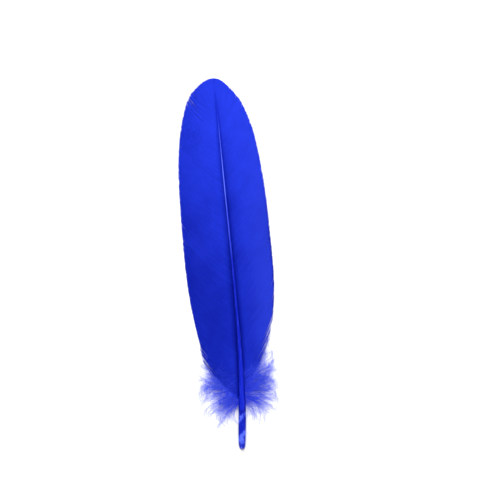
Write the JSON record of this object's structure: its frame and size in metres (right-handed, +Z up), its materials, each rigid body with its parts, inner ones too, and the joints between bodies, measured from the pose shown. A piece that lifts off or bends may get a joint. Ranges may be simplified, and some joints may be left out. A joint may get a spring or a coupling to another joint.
{
  "type": "goose feather",
  "caption": "Dyed wing feather with a bare rounded quill, a slender curved shaft, two broad smooth vanes with a blunt tip, and soft down at the foot of the vanes.",
  "frame": {"origin": "middle of the feather's footprint, on the table", "axes": "+Y from the quill's end to the tip, +X towards the right vane seen from above, +Z up from the feather's upper side"},
  "size_m": [0.0408, 0.1698, 0.0049],
  "materials": {
    "vane": "satin-matte keratin barbs dyed royal blue, with a faint slanting streak along the barbs and paler see-through edges",
    "quill": "smooth translucent keratin dyed royal blue, satin, with pale lavender patches where the dried pith shows through",
    "down": "fine soft down, a lighter blue, thin enough to see through"
  },
  "bodies": {
    "root": {"feather": "vane"}
  },
  "joints": []
}
